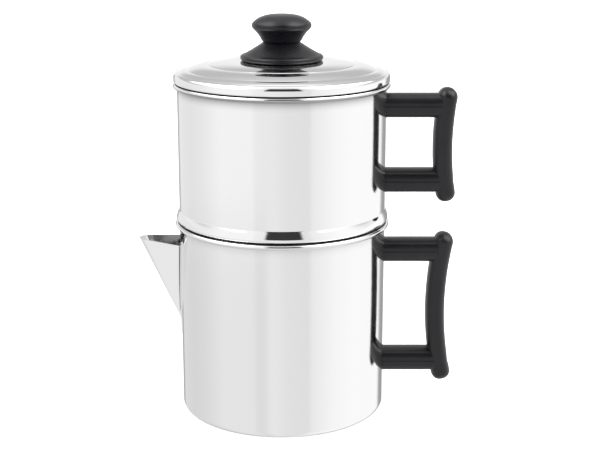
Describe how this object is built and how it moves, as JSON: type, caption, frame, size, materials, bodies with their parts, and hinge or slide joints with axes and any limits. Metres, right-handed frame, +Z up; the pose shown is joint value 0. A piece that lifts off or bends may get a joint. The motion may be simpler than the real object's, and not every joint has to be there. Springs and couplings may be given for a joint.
{
  "type": "drip coffee pot",
  "caption": "Two-tier stainless drip coffee pot: spouted pot, lift-out basket and spreader, water chamber and domed lid with a black knob, and black loop handles.",
  "frame": {"origin": "centre of the flat base, on the axis of the pot", "axes": "+Z up along the axis, spout towards -X, both handles towards +X"},
  "size_m": [0.2157, 0.1452, 0.2715],
  "materials": {
    "polished_steel": "satin polished stainless, fine grain round the wall",
    "bright_steel": "mirror polished stainless",
    "strainer_steel": "plain drawn stainless",
    "fastener_steel": "turned steel",
    "phenolic": "black moulded phenolic, soft sheen",
    "insert_brass": "turned brass"
  },
  "bodies": {
    "pot": {"pot_shell": "polished_steel", "pot_spout": "bright_steel", "pot_handle_bosses": "fastener_steel", "pot_handle": "phenolic", "pot_handle_screws": "fastener_steel", "pot_handle_washers": "fastener_steel"},
    "basket": {"basket_shell": "strainer_steel"},
    "spreader": {"spreader_disc": "strainer_steel", "spreader_knob": "strainer_steel"},
    "chamber": {"chamber_shell": "polished_steel", "chamber_handle_bosses": "fastener_steel", "chamber_handle": "phenolic", "chamber_handle_screws": "fastener_steel", "chamber_handle_washers": "fastener_steel"},
    "lid": {"lid_shell": "bright_steel", "knob_base": "phenolic", "lid_knob": "phenolic", "knob_insert": "insert_brass", "knob_screw": "fastener_steel", "knob_washer": "fastener_steel"}
  },
  "joints": [
    {"name": "basket_lift", "type": "slide", "parent": "pot", "child": "basket", "axis": [0, 0, 1], "range_m": [0, 0.08]},
    {"name": "spreader_lift", "type": "slide", "parent": "basket", "child": "spreader", "axis": [0, 0, 1], "range_m": [0, 0.05]},
    {"name": "chamber_lift", "type": "slide", "parent": "spreader", "child": "chamber", "axis": [0, 0, 1], "range_m": [0, 0.05]},
    {"name": "lid_lift", "type": "slide", "parent": "chamber", "child": "lid", "axis": [0, 0, 1], "range_m": [0, 0.05]}
  ]
}
